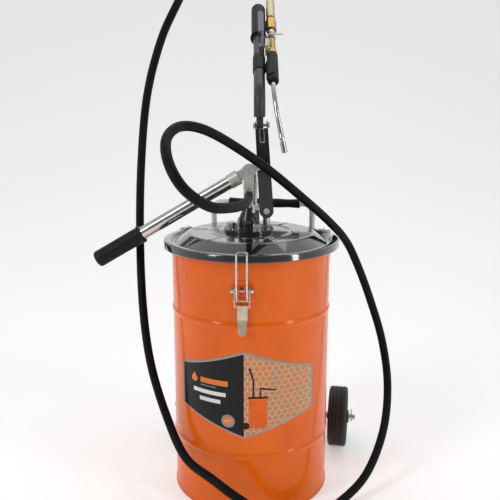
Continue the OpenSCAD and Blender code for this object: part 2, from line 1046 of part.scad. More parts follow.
// The steel spout below the gun: a bent pipe, its ball and its coupler
module gun_spout() {
    color("silver")
        on_gun() {
            translate([0, 0, 33])
                rotate([0, 0, spout_turn]) {
                    cylinder(r = spout_r, h = 27);
                    translate([spout_bend_r, 0, 0])
                        rotate([90, 180, 0])
                            rotate_extrude(angle = spout_bend)
                                translate([spout_bend_r, 0])
                                    circle(r = spout_r);
                    translate([
                        spout_bend_r * (1 - cos(spout_bend)), 0, -spout_bend_r * sin(spout_bend)
                    ])
                        rotate([0, 180 - spout_bend, 0]) {
                            turned([
                                [0, -1], [4.7, -1], [4.7, 26], [5.2, 28], [5.7, 31],
                                [5.2, 34], [3.5, 37], [3.5, 40], [5.6, 40], [5.6, 61], [0, 61]
                            ]);
                        }
                }
        }
}

// One place between four of the hose's places, on a smooth curve
function between(a, b, c, d, u) =
    0.5 * (2 * b + (c - a) * u + (2 * a - 5 * b + 4 * c - d) * u ^ 2 + (3 * b - a - 3 * c + d) * u ^ 3);

hose_last = len(hose_route) - 1;
hose_tip = [
    handle_x + gun_x,
    lean_y + gun_y * cos(handle_lean) + ferrule_end * sin(handle_lean),
    lean_z - gun_y * sin(handle_lean) + ferrule_end * cos(handle_lean)
];
hose_out = [0, -1, 0];
hose_in = [0, -sin(handle_lean), -cos(handle_lean)];
hose_line = concat(
    [
        for (i = [0:hose_last - 1], u = [0, 0.5])
            between(
                i == 0 ? hose_route[0] - 55 * hose_out : hose_route[i - 1],
                hose_route[i],
                i == hose_last - 1 ? hose_tip : hose_route[i + 1],
                i == hose_last - 1 ? hose_tip + 90 * hose_in : hose_route[i + 2],
                u
            )
    ],
    [hose_tip]
);
hose_rings = len(hose_line);
hose_ways = [
    for (i = [0:hose_rings - 1])
        i == 0 ? hose_out
        : i == hose_rings - 1 ? hose_in
        : unit(hose_line[i + 1] - hose_line[i - 1])
];
hose_sides = 10;

// Each ring's sideways direction, carried along so that the tube doesn't twist
hose_sideways = [
    for (
        i = 0, side = [1, 0, 0];
        i < hose_rings;
        i = i + 1, side = i < hose_rings ? unit(side - (side * hose_ways[i]) * hose_ways[i]) : side
    )
        side
];

module hose() {
    points = [
        for (i = [0:hose_rings - 1], k = [0:hose_sides - 1])
            hose_line[i]
                + hose_r * cos(360 * k / hose_sides) * hose_sideways[i]
                + hose_r * sin(360 * k / hose_sides) * cross(hose_ways[i], hose_sideways[i])
    ];
    walls = [
        for (i = [0:hose_rings - 2], k = [0:hose_sides - 1])
            let (n = (k + 1) % hose_sides, low = i * hose_sides, high = low + hose_sides)
                [low + k, high + k, high + n, low + n]
    ];
    first = [for (k = [0:hose_sides - 1]) k];
    last = [for (k = [hose_sides - 1:-1:0]) (hose_rings - 1) * hose_sides + k];
    color("black")
        polyhedron(points = points, faces = concat(walls, [first], [last]), convexity = 10);
}

drum_shell();
drum_base();
drum_label();
lid();
gaskets();
clamp_brackets();
clamp_bolts();
clamp_lever(clamp_turns[0]);  // clamp_lever_a
clamp_lever(clamp_turns[1]);  // clamp_lever_b
clamp_lever(clamp_turns[2]);  // clamp_lever_c
clamp_hook(clamp_turns[0]);  // clamp_hook_a
clamp_hook(clamp_turns[1]);  // clamp_hook_b
clamp_hook(clamp_turns[2]);  // clamp_hook_c
axle();
axle_brackets();
tyre(-1);  // tyre_left
tyre(1);  // tyre_right
rim(-1);  // rim_left
rim(1);  // rim_right
axle_fittings();
bail_handle();
bail_grip();
bail_lugs();
pump_head();
hex_bolts();
bleed_screw();
outlet_column();
outlet_fitting();
clevis_post();
fulcrum_bolt();
lever_head();
lever_tube();
lever_grip();
rod_pin();
piston_rod();
rod_gland();
piston();
pump_tube();
foot_valve();
check_ball();
strainer();
follower_plate();
follower_seal();
pole_channel();
pole_post();
pole_pins();
handle_tube();
handle_grip();
gun_clip();
gun_grip();
gun_body();
gun_bracket();
gun_pins();
gun_trigger();
gun_valve_pin();
gun_collar();
gun_nut();
gun_spout();
hose_ferrule();
hose();
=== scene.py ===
# Drum pump on a trolley: a lidded steel drum, a lever pump, a long hose and a gun on a folding handle.
# All lengths are in metres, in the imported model's own frame.
import json
import math

import bmesh
import bpy
from mathutils import Matrix, Vector


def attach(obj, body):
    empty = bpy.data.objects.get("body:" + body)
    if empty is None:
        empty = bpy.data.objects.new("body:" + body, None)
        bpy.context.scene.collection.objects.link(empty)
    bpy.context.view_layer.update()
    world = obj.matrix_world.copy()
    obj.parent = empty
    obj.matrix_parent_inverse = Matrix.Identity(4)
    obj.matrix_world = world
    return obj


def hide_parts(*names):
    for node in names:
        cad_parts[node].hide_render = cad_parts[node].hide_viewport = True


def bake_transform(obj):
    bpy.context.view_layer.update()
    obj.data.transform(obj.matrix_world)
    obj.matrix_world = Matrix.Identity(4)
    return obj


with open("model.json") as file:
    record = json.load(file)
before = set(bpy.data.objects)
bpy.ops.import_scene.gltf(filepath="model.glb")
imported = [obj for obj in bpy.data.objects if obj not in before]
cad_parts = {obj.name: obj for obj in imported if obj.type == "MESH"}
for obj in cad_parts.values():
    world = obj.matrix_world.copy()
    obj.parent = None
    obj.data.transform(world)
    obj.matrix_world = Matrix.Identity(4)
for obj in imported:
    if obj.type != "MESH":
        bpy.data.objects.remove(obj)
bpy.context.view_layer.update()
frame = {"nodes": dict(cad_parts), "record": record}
cadNodes = frame["nodes"]
print("frame loaded:", len(cadNodes), "nodes")

# camera
camera = {
    "place": (-0.0019, -1.312, 0.749),
    "tilt": 77.93,  # degrees up from straight down
    "lens": 50.4,
}


def addCamera():
    data = bpy.data.cameras.new("mainCamera")
    data.lens = camera["lens"]
    data.sensor_width = 36
    data.clip_start = 0.01
    body = bpy.data.objects.new("mainCamera", data)
    body.location = camera["place"]
    body.rotation_euler = (math.radians(camera["tilt"]), 0, 0)
    bpy.context.scene.collection.objects.link(body)
    bpy.context.scene.camera = body


addCamera()


# mesh helpers
def addPiece(name, mesh, body, material, smoothAngle=35):
    # Puts a finished mesh in the scene on one body.
    mesh.polygons.foreach_set("use_smooth", [True] * len(mesh.polygons))
    mesh.set_sharp_from_angle(angle=math.radians(smoothAngle))
    mesh.materials.clear()
    mesh.materials.append(material)
    piece = bpy.data.objects.new(name, mesh)
    bpy.context.scene.collection.objects.link(piece)
    if body:
        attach(piece, body)
    return piece


def meshFrom(name, bm):
    mesh = bpy.data.meshes.new(name)
    bm.to_mesh(mesh)
    bm.free()
    return mesh


def placeAlong(start, direction):
    # A frame at start whose own Z runs along direction.
    z = Vector(direction).normalized()
    rotation = z.to_track_quat("Z", "Y").to_matrix().to_4x4()
    return Matrix.Translation(Vector(start)) @ rotation


def joinRings(bm, pairs, sides):
    for low, high in pairs:
        for k in range(sides):
            j = (k + 1) % sides
            bm.faces.new((low[k], low[j], high[j], high[k]))


def latheMesh(name, outline, sides, place=Matrix.Identity(4)):
    # Turns a closed outline of (radius, height) pairs round Z.
    bm = bmesh.new()
    rings = []
    for radius, height in outline:
        ring = []
        for k in range(sides):
            angle = 2 * math.pi * k / sides
            ring.append(bm.verts.new((radius * math.cos(angle), radius * math.sin(angle), height)))
        rings.append(ring)
    joinRings(bm, zip(rings, rings[1:] + rings[:1]), sides)
    bmesh.ops.recalc_face_normals(bm, faces=bm.faces)
    bm.transform(place)
    return meshFrom(name, bm)


def sweepMesh(name, line, radius, sides):
    # A round tube along a line of points, with closed ends.
    points = [Vector(p) for p in line]
    bm = bmesh.new()
    side = (points[1] - points[0]).normalized().orthogonal().normalized()
    rings = []
    for i, point in enumerate(points):
        ahead = (points[min(i + 1, len(points) - 1)] - points[max(i - 1, 0)]).normalized()
        side = (side - ahead * side.dot(ahead)).normalized()
        up = ahead.cross(side)
        ring = []
        for k in range(sides):
            angle = 2 * math.pi * k / sides
            ring.append(bm.verts.new(point + (side * math.cos(angle) + up * math.sin(angle)) * radius))
        rings.append(ring)
    joinRings(bm, zip(rings, rings[1:]), sides)
    bm.faces.new(rings[0][::-1])
    bm.faces.new(rings[-1])
    bmesh.ops.recalc_face_normals(bm, faces=bm.faces)
    return meshFrom(name, bm)


def smoothLine(places, steps, before, after):
    # A smooth curve through the places. The points before and after turn its two ends.
    points = [Vector(p) for p in places]
    ends = [before] + points + [after]
    line = []
    for i in range(len(points) - 1):
        a, b, c, d = ends[i:i + 4]
        for k in range(steps):
            u = k / steps
            line.append(0.5 * (2 * b + (c - a) * u + (2 * a - 5 * b + 4 * c - d) * u * u
                               + (3 * b - a - 3 * c + d) * u ** 3))
    line.append(points[-1])
    return line


def roundedLine(places, radius, steps=7):
    # Straight runs through the places with round corners between them.
    points = [Vector(p) for p in places]
    line = [points[0]]
    most = 0.49  # a corner takes less than half of each run
    for a, b, c in zip(points, points[1:], points[2:]):
        back = (a - b).normalized()
        ahead = (c - b).normalized()
        half = back.angle(ahead) / 2
        reach = min(radius / math.tan(half), most * (a - b).length, most * (c - b).length)
        first = b + back * reach
        last = b + ahead * reach
        for k in range(steps + 1):
            u = k / steps
            line.append(first * (1 - u) ** 2 + b * 2 * u * (1 - u) + last * u ** 2)
    line.append(points[-1])
    return line


# materials
finishes = {
    # colour and its darker variation, grain size in metres, gloss and bumps of each finish
    "orangePaint": dict(colour=(0.84, 0.140, 0.0), dark=(0.74, 0.108, 0.0), grain=0.09,
                        rough=0.24, roughTo=0.32, coat=0.35, shine=0.15, bump=0.08, bumpGrain=0.0035),
    "blackPaint": dict(colour=(0.010, 0.011, 0.013), dark=(0.006, 0.0065, 0.008), grain=0.03,
                       rough=0.30, roughTo=0.40, coat=0.8, shine=0.3, bump=0.08, bumpGrain=0.0028),
    "lidPaint": dict(colour=(0.012, 0.012, 0.013), dark=(0.007, 0.007, 0.008), grain=0.03,
                     rough=0.12, roughTo=0.20, coat=1.0, coatIor=1.85, shine=0.5, bump=0.05,
                     bumpGrain=0.004),
    "sealRubber": dict(colour=(0.018, 0.018, 0.019), dark=(0.012, 0.012, 0.012), grain=0.01,
                       rough=0.6, roughTo=0.75, bump=0.12, bumpGrain=0.0012),
    "zinc": dict(colour=(0.70, 0.71, 0.72), dark=(0.52, 0.53, 0.55), grain=0.005, metal=1.0,
                 rough=0.24, roughTo=0.40, bump=0.06, bumpGrain=0.0006),
    "yellowZinc": dict(colour=(0.66, 0.59, 0.45), dark=(0.54, 0.45, 0.32), grain=0.009, metal=0.7,
                       rough=0.36, roughTo=0.48, bump=0.05, bumpGrain=0.0007),
    "tyreRubber": dict(colour=(0.016, 0.016, 0.017), dark=(0.026, 0.025, 0.024), grain=0.02,
                       rough=0.55, roughTo=0.75, bump=0.2, bumpGrain=0.0015),
    "rimPlastic": dict(colour=(0.035, 0.035, 0.038), dark=(0.025, 0.025, 0.027), grain=0.02,
                       rough=0.4, roughTo=0.5, bump=0.12, bumpGrain=0.001),
    "creamSteel": dict(colour=(0.76, 0.77, 0.69), dark=(0.66, 0.67, 0.60), grain=0.03,
                       rough=0.3, roughTo=0.4, coat=0.5, bump=0.06, bumpGrain=0.002),
    "blackGrip": dict(colour=(0.014, 0.015, 0.018), dark=(0.009, 0.0095, 0.011), grain=0.012,
                      rough=0.36, roughTo=0.52, shine=0.14, bump=0.16, bumpGrain=0.0009),
    "castAlloy": dict(colour=(0.66, 0.65, 0.61), dark=(0.50, 0.50, 0.47), grain=0.004, metal=0.85,
                      rough=0.38, roughTo=0.55, bump=0.4, bumpGrain=0.0011),
    "chromeSteel": dict(colour=(0.62, 0.61, 0.60), dark=(0.50, 0.50, 0.50), grain=0.02, metal=1.0,
                        rough=0.12, roughTo=0.2, bump=0.02, bumpGrain=0.001),
    "plainSteel": dict(colour=(0.50, 0.50, 0.51), dark=(0.38, 0.37, 0.37), grain=0.02, metal=1.0,
                       rough=0.35, roughTo=0.5, bump=0.05, bumpGrain=0.001),
    "brass": dict(colour=(0.56, 0.36, 0.10), dark=(0.40, 0.24, 0.06), grain=0.006, metal=1.0,
                  rough=0.24, roughTo=0.38, bump=0.07, bumpGrain=0.0008),
    "paleBrass": dict(colour=(0.55, 0.47, 0.29), dark=(0.42, 0.34, 0.18), grain=0.004, metal=1.0,
                      rough=0.28, roughTo=0.42, bump=0.07, bumpGrain=0.0006),
    "greyPaint": dict(colour=(0.050, 0.050, 0.050), dark=(0.036, 0.036, 0.037), grain=0.02,
                      rough=0.32, roughTo=0.42, coat=0.1, shine=0.3, bump=0.08, bumpGrain=0.0014),
    "lavenderPlastic": dict(colour=(0.14, 0.13, 0.19), dark=(0.11, 0.10, 0.15), grain=0.01,
                            rough=0.34, roughTo=0.44, bump=0.06, bumpGrain=0.0008),
    "copper": dict(colour=(0.60, 0.22, 0.10), dark=(0.45, 0.15, 0.06), grain=0.004, metal=1.0,
                   rough=0.3, roughTo=0.42, bump=0.05, bumpGrain=0.0006),
    "hoseRubber": dict(colour=(0.0055, 0.0055, 0.006), dark=(0.0035, 0.0035, 0.004), grain=0.02,
                       rough=0.45, roughTo=0.6, shine=0.12, bump=0.25, bumpGrain=0.0011),
    "whiteBead": dict(colour=(0.75, 0.75, 0.72), dark=(0.66, 0.66, 0.62), grain=0.004,
                      rough=0.3, roughTo=0.4, bump=0.03, bumpGrain=0.001),
}
surface = {
    "tones": (0.32, 0.68),  # the part of a noise's range between a finish's two colours
    "glossTones": (0.3, 0.7),
    "glossGrain": 0.45,  # as a share of the colour's grain
    "coatRough": 0.06,
    "bumpDepth": 0.0004,
}
materials = {}


def noiseOn(tree, grain, detail=4.0):
    place = tree.nodes.new("ShaderNodeTexCoord")
    noise = tree.nodes.new("ShaderNodeTexNoise")
    noise.inputs["Scale"].default_value = 1.0 / grain
    noise.inputs["Detail"].default_value = detail
    tree.links.new(place.outputs["Object"], noise.inputs["Vector"])
    return noise


def spread(tree, source, low, high):
    # A ramp from one colour to another over the middle of a texture's range.
    ramp = tree.nodes.new("ShaderNodeValToRGB")
    ramp.color_ramp.elements[0].position = surface["tones"][0]
    ramp.color_ramp.elements[1].position = surface["tones"][1]
    ramp.color_ramp.elements[0].color = low
    ramp.color_ramp.elements[1].color = high
    tree.links.new(source, ramp.inputs["Fac"])
    return ramp.outputs["Color"]


def makeFinish(name):
    if name in materials:
        return materials[name]
    look = finishes[name]
    material = bpy.data.materials.new(name)
    material.use_nodes = True
    tree = material.node_tree
    shader = tree.nodes["Principled BSDF"]
    shader.inputs["Metallic"].default_value = look.get("metal", 0.0)
    shader.inputs["Coat Weight"].default_value = look.get("coat", 0.0)
    shader.inputs["Coat Roughness"].default_value = surface["coatRough"]
    shader.inputs["Coat IOR"].default_value = look.get("coatIor", 1.5)
    shader.inputs["Specular IOR Level"].default_value = look.get("shine", 0.5)
    tone = noiseOn(tree, look["grain"])
    colour = spread(tree, tone.outputs["Fac"], (*look["dark"], 1), (*look["colour"], 1))
    tree.links.new(colour, shader.inputs["Base Color"])
    gloss = noiseOn(tree, look["grain"] * surface["glossGrain"], 5.0)
    reach = tree.nodes.new("ShaderNodeMapRange")
    reach.inputs["From Min"].default_value = surface["glossTones"][0]
    reach.inputs["From Max"].default_value = surface["glossTones"][1]
    reach.inputs["To Min"].default_value = look["rough"]
    reach.inputs["To Max"].default_value = look["roughTo"]
    tree.links.new(gloss.outputs["Fac"], reach.inputs["Value"])
    tree.links.new(reach.outputs["Result"], shader.inputs["Roughness"])
    fine = noiseOn(tree, look["bumpGrain"], 3.0)
    bump = tree.nodes.new("ShaderNodeBump")
    bump.inputs["Strength"].default_value = look["bump"]
    bump.inputs["Distance"].default_value = surface["bumpDepth"]
    tree.links.new(fine.outputs["Fac"], bump.inputs["Height"])
    tree.links.new(bump.outputs["Normal"], shader.inputs["Normal"])
    materials[name] = material
    return material


slotFinish = {
    "orange_paint": "orangePaint", "label_film": "blackPaint", "black_paint": "blackPaint",
    "seal_rubber": "sealRubber", "zinc": "zinc", "yellow_zinc": "yellowZinc",
    "tyre_rubber": "tyreRubber", "rim_plastic": "rimPlastic", "cream_steel": "creamSteel",
    "black_grip": "blackGrip", "cast_alloy": "castAlloy", "chrome_steel": "chromeSteel",
    "plain_steel": "plainSteel", "brass_metal": "brass", "pale_brass": "paleBrass",
    "grey_paint": "greyPaint", "trigger_plastic": "lavenderPlastic", "hose_rubber": "hoseRubber",
}


def finishCadNodes():
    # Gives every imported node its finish.
    for row in frame["record"]["subparts"]:
        node = cadNodes[row["node"]]
        node.data.materials.clear()
        node.data.materials.append(makeFinish(slotFinish[row["material_slot"]]))
        node.data.polygons.foreach_set("material_index", [0] * len(node.data.polygons))
    print("finishes on", len(materials), "kinds of surface")


finishCadNodes()

# the folding handle leans back by this much
handleLean = math.radians(56)

# hose
hose = {
    "diameter": 0.016,
    "length": 3.34,
    "exit": (-0.004, -0.040, 0.5785),
    "sides": 20,
    "steps": 8,
    "startPull": 0.055,  # how straight it leaves the pump head
    "endPull": 0.09,  # and how straight it enters the gun
    "bendStart": (0, 0.09, 0.60),  # below and before this the hose runs along the drum
    "bendEnd": (0, 0.25, 1.00),  # past this it runs along the folding handle
    "route": [
        (-0.004, -0.040, 0.5785), (-0.006, -0.120, 0.581), (-0.012, -0.195, 0.585),
        (-0.030, -0.262, 0.590), (-0.060, -0.317, 0.600), (-0.094, -0.340, 0.628),
        (-0.117, -0.320, 0.663), (-0.124, -0.276, 0.694), (-0.108, -0.232, 0.710),
        (-0.075, -0.192, 0.704), (-0.030, -0.137, 0.676), (0.030, -0.091, 0.631),
        (0.095, -0.042, 0.574), (0.151, 0.020, 0.520), (0.190, 0.057, 0.474), (0.217, 0.067, 0.420),
        (0.245, 0.070, 0.348), (0.270, 0.059, 0.265), (0.280, 0.034, 0.180), (0.265, -0.018, 0.106),
        (0.226, -0.076, 0.046), (0.174, -0.124, 0.017), (0.112, -0.176, 0.011),
        (0.048, -0.208, 0.028), (-0.012, -0.212, 0.064), (-0.068, -0.182, 0.090),
        (-0.120, -0.130, 0.104), (-0.157, -0.082, 0.156), (-0.190, -0.050, 0.250),
        (-0.208, -0.014, 0.352), (-0.219, 0.045, 0.480), (-0.219, 0.088, 0.620),
        (-0.206, 0.106, 0.755), (-0.178, 0.116, 0.860), (-0.148, 0.150, 0.934),
        (-0.124, 0.235, 0.998), (-0.095, 0.335, 1.040), (-0.040, 0.402, 1.060),
        (0.022, 0.394, 1.032), (0.042, 0.30803, 0.96111),
    ],
}


def makeHose():
    route = [Vector(p) for p in hose["route"]]
    before = route[0] + Vector((0, hose["startPull"], 0))
    after = route[-1] - hose["endPull"] * Vector((0, math.sin(handleLean), math.cos(handleLean)))
    line = smoothLine(route, hose["steps"], before, after)
    mesh = sweepMesh("hoseTube", line, hose["diameter"] / 2, hose["sides"])
    piece = addPiece("hoseTube", mesh, None, makeFinish("hoseRubber"), 60)
    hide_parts("hose")
    length = sum((b - a).length for a, b in zip(line, line[1:]))
    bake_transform(piece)
    print("hose length", round(length, 3))


makeHose()

# drum
drum = {
    "radius": 0.150,
    "wall": 0.0015,
    "height": 0.4825,
    "chime": [  # how far out from the side, and how high
        (-0.0015, 0.0006), (-0.0006, 0.0), (0.0012, 0.0004), (0.002, 0.0014), (0.0021, 0.003),
        (0.0019, 0.0052), (0.0006, 0.0068), (0.0, 0.0085),
    ],
    "hoops": (0.117, 0.364),
    "hoopOut": 0.002,
    "hoopHalf": 0.0075,
    "hoopClear": 0.02,
    "curlOut": 0.004,
    "curlRadius": 0.0044,
    "curlTurns": range(-150, 151, 25),
    "sides": 180,
}


def makeDrum():
    r = drum["radius"]
    top = drum["height"]
    inside = r - drum["wall"]
    steps = 8
    outline = [(r + out, z) for out, z in drum["chime"]]
    for z in drum["hoops"]:
        for k in range(-steps, steps + 1):
            u = k / steps
            swell = 0.5 + 0.5 * math.cos(math.pi * u)
            outline.append((r + drum["hoopOut"] * swell, z + drum["hoopHalf"] * u))
        outline.append((r, z + drum["hoopClear"]))
    outline += [(r, top - 0.006), (r, top - 0.004)]
    for turn in drum["curlTurns"]:
        angle = math.radians(turn)
        outline.append((r + drum["curlOut"] + drum["curlRadius"] * math.cos(angle),
                        top + drum["curlRadius"] * math.sin(angle)))
    outline += [(inside, top - 0.003), (inside, 0.2)]
    mesh = latheMesh("drumSkin", outline, drum["sides"])
    piece = addPiece("drumSkin", mesh, "drum", makeFinish("orangePaint"), 50)
    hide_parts("drum_shell")


makeDrum()
print("drum done")

# label
label = {
    "turn": -4.5,
    "outline": [(-0.120, 0.194), (0.0, 0.1525), (0.120, 0.194), (0.120, 0.278), (0.0, 0.317),
                (-0.120, 0.278)],
    "border": 0.0034,
    "split": -0.001,  # the black panel ends here
    "cell": 0.011,  # honeycomb pitch
    "hexRise": 0.866,  # height of a honeycomb row over its pitch
    "tan": (0.62, 0.165, 0.02, 1),
    "darkTan": (0.42, 0.20, 0.075, 1),
    "honeyLine": (0.62, 0.42, 0.24, 1),
    "lift": 0.00035,
    "panelLift": 0.00015,  # the panels stand this much above the border, and the print twice that
    "step": 0.004,  # width of the strips that bend round the drum
}


def plainFinish(name, colour, rough, metal=0.0, coat=0.2):
    finishes[name] = dict(colour=colour, dark=tuple(0.86 * c for c in colour), grain=0.02, metal=metal,
                          rough=rough, roughTo=rough + 0.08, coat=coat, shine=0.2, bump=0.03,
                          bumpGrain=0.003)
    return makeFinish(name)


def honeycombFinish():
    # Tan print with paler honeycomb lines and cells of two tans in soft blotches.
    material = bpy.data.materials.new("labelHoneycomb")
    material.use_nodes = True
    tree = material.node_tree
    shader = tree.nodes["Principled BSDF"]
    shader.inputs["Roughness"].default_value = 0.22
    shader.inputs["Coat Weight"].default_value = 0.6
    shader.inputs["Coat Roughness"].default_value = 0.08
    place = tree.nodes.new("ShaderNodeUVMap")
    place.uv_map = "print"

    def hexDistance(offset):
        shift = tree.nodes.new("ShaderNodeVectorMath")
        shift.operation = "ADD"
        shift.inputs[1].default_value = (offset[0] * label["cell"], offset[1] * label["cell"], 0)
        tree.links.new(place.outputs["UV"], shift.inputs[0])
        wrap = tree.nodes.new("ShaderNodeVectorMath")
        wrap.operation = "WRAP"
        halfWide = label["cell"] * 0.5
        halfHigh = label["cell"] * label["hexRise"]
        wrap.inputs[1].default_value = (halfWide, halfHigh, 1)
        wrap.inputs[2].default_value = (-halfWide, -halfHigh, -1)
        tree.links.new(shift.outputs["Vector"], wrap.inputs[0])
        away = tree.nodes.new("ShaderNodeVectorMath")
        away.operation = "ABSOLUTE"
        tree.links.new(wrap.outputs["Vector"], away.inputs[0])
        slope = tree.nodes.new("ShaderNodeVectorMath")
        slope.operation = "DOT_PRODUCT"
        slope.inputs[1].default_value = (0.5, label["hexRise"], 0)
        tree.links.new(away.outputs["Vector"], slope.inputs[0])
        split = tree.nodes.new("ShaderNodeSeparateXYZ")
        tree.links.new(away.outputs["Vector"], split.inputs["Vector"])
        far = tree.nodes.new("ShaderNodeMath")
        far.operation = "MAXIMUM"
        tree.links.new(split.outputs["X"], far.inputs[0])
        tree.links.new(slope.outputs["Value"], far.inputs[1])
        return far.outputs["Value"]

    near = tree.nodes.new("ShaderNodeMath")
    near.operation = "MINIMUM"
    tree.links.new(hexDistance((0, 0)), near.inputs[0])
    tree.links.new(hexDistance((0.5, label["hexRise"])), near.inputs[1])
    ramp = tree.nodes.new("ShaderNodeMapRange")
    ramp.inputs["From Min"].default_value = label["cell"] * 0.40
    ramp.inputs["From Max"].default_value = label["cell"] * 0.47
    tree.links.new(near.outputs["Value"], ramp.inputs["Value"])
    blotch = noiseOn(tree, 0.030, 3.0)
    cells = spread(tree, blotch.outputs["Fac"], label["darkTan"], label["tan"])
    mixed = tree.nodes.new("ShaderNodeMix")
    mixed.data_type = "RGBA"
    tree.links.new(ramp.outputs["Result"], mixed.inputs["Factor"])
    tree.links.new(cells, mixed.inputs["A"])
    mixed.inputs["B"].default_value = label["honeyLine"]
    tree.links.new(mixed.outputs["Result"], shader.inputs["Base Color"])
    return material


def insetOutline(outline, gap):
    middle = Vector((0, sum(p[1] for p in outline) / len(outline)))
    points = [Vector(p) for p in outline]
    result = []
    count = len(points)
    for i in range(count):
        a, b, c = points[i - 1], points[i], points[(i + 1) % count]
        first = (b - a).normalized()
        last = (c - b).normalized()
        normalA = Vector((-first.y, first.x))
        normalB = Vector((-last.y, last.x))
        if normalA.dot(middle - b) < 0:
            normalA = -normalA
        if normalB.dot(middle - b) < 0:
            normalB = -normalB
        bisector = (normalA + normalB).normalized()
        result.append(b + bisector * (gap / max(0.2, bisector.dot(normalA))))
    return result


def clipFlat(points, low, high):
    # Keeps the part of a flat outline between two places in X.
    for edge, keep in ((low, 1), (high, -1)):
        result = []
        for a, b in zip(points, points[1:] + points[:1]):
            insideA = (a.x - edge) * keep >= 0
            insideB = (b.x - edge) * keep >= 0
            if insideA:
                result.append(a)
            if insideA != insideB:
                result.append(a.lerp(b, (edge - a.x) / (b.x - a.x)))
        points = result
    return points


def wrapFlat(name, outlines, lift, material):
    # Lays flat outlines of (x, z) on the drum's side as one thin printed piece.
    bm = bmesh.new()
    for points in outlines:
        bm.faces.new([bm.verts.new((p[0], 0, p[1])) for p in points])
    xs = [v.co.x for v in bm.verts]
    step = label["step"]
    cut = math.floor(min(xs) / step) * step
    while cut < max(xs):
        geometry = list(bm.verts) + list(bm.edges) + list(bm.faces)
        bmesh.ops.bisect_plane(bm, geom=geometry, plane_co=(cut, 0, 0), plane_no=(1, 0, 0))
        cut += step
    layer = bm.loops.layers.uv.new("print")
    for face in bm.faces:
        for loop in face.loops:
            loop[layer].uv = (loop.vert.co.x, loop.vert.co.z)
    radius = drum["radius"] + lift
    turn = Matrix.Rotation(math.radians(label["turn"]), 4, "Z")
    for vert in bm.verts:
        x = max(-radius, min(radius, vert.co.x))
        vert.co = turn @ Vector((x, -math.sqrt(radius * radius - x * x), vert.co.z))
    for face in bm.faces:
        face.normal_update()
        middle = face.calc_center_median()
        if face.normal.dot(Vector((middle.x, middle.y, 0))) < 0:
            face.normal_flip()
    piece = addPiece(name, meshFrom(name, bm), "drum", material, 60)
    return piece


def bar(x0, z0, x1, z1):
    return [(x0, z0), (x1, z0), (x1, z1), (x0, z1)]


def disc(x, z, r, sides=28):
    return [(x + r * math.cos(2 * math.pi * k / sides), z + r * math.sin(2 * math.pi * k / sides))
            for k in range(sides)]


def makeLabel():
    outer = [Vector(p) for p in label["outline"]]
    inner = insetOutline(label["outline"], label["border"])
    lift = label["lift"]
    metal = plainFinish("labelBorder", (0.30, 0.32, 0.30), 0.28, 0.6)
    base = wrapFlat("labelBorder", [outer], lift, metal)
    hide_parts("drum_label")
    black = plainFinish("labelBlack", (0.004, 0.004, 0.0045), 0.22, coat=0.1)
    panelUp = lift + label["panelLift"]
    wrapFlat("labelBlackPanel", [clipFlat(inner, -1, label["split"])], panelUp, black)
    wrapFlat("labelTanPanel", [clipFlat(inner, label["split"], 1)], panelUp, honeycombFinish())
    orange = plainFinish("labelOrange", (0.86, 0.20, 0.03), 0.25)
    white = plainFinish("labelWhite", (0.78, 0.78, 0.76), 0.3)
    grey = plainFinish("labelGrey", (0.28, 0.27, 0.28), 0.3)
    deep = plainFinish("labelDrumOrange", (0.80, 0.12, 0.004), 0.25)
    up = lift + 2 * label["panelLift"]
    # a plain drop and plain bars stand in for print
    drop = [(-0.094, 0.2655), (-0.088, 0.2555), (-0.0885, 0.2505), (-0.094, 0.2475), (-0.0995, 0.2505),
            (-0.100, 0.2555)]
    wrapFlat("labelDrop", [drop], up, orange)
    wrapFlat("labelOrangeBar", [bar(-0.082, 0.2500, -0.030, 0.2600)], up, orange)
    wrapFlat("labelFineBar", [bar(-0.082, 0.2445, -0.052, 0.2462)], up, grey)
    wrapFlat("labelWhiteBars", [bar(-0.096, 0.2300, -0.034, 0.2375), bar(-0.084, 0.2155, -0.044, 0.2230)],
             up, white)
    wrapFlat("labelBadgeRim", [disc(-0.0300, 0.1845, 0.0125)], up, grey)
    wrapFlat("labelBadgeFace", [disc(-0.0300, 0.1845, 0.0082)], up + 0.00012, orange)
    wrapFlat("labelBadgeLine", [[(-0.0375, 0.1828), (-0.0225, 0.1868), (-0.0225, 0.1876),
                                 (-0.0375, 0.1836)]], up + 0.0002, white)
    # the small picture of the pump itself
    wrapFlat("pictureDrum", [bar(0.008, 0.1735, 0.040, 0.2300)], up, deep)
    wrapFlat("pictureLid", [bar(0.0055, 0.2300, 0.0425, 0.2325), bar(0.0075, 0.2325, 0.0405, 0.2338)],
             up + 0.0001, black)
    wrapFlat("pictureWheel", [disc(0.0025, 0.1775, 0.0065)], up + 0.0001, black)
    wrapFlat("picturePole", [bar(0.0145, 0.2335, 0.0175, 0.2660),
                             [(0.0145, 0.2650), (0.0175, 0.2650), (0.0105, 0.2880), (0.0070, 0.2865)]],
             up + 0.0001, black)
    wrapFlat("pictureLever", [bar(0.0270, 0.2335, 0.0295, 0.2500),
                              [(0.0270, 0.2480), (0.0280, 0.2508), (0.0560, 0.2458), (0.0555, 0.2432)]],
             up + 0.0001, black)
    print("label done")


makeLabel()

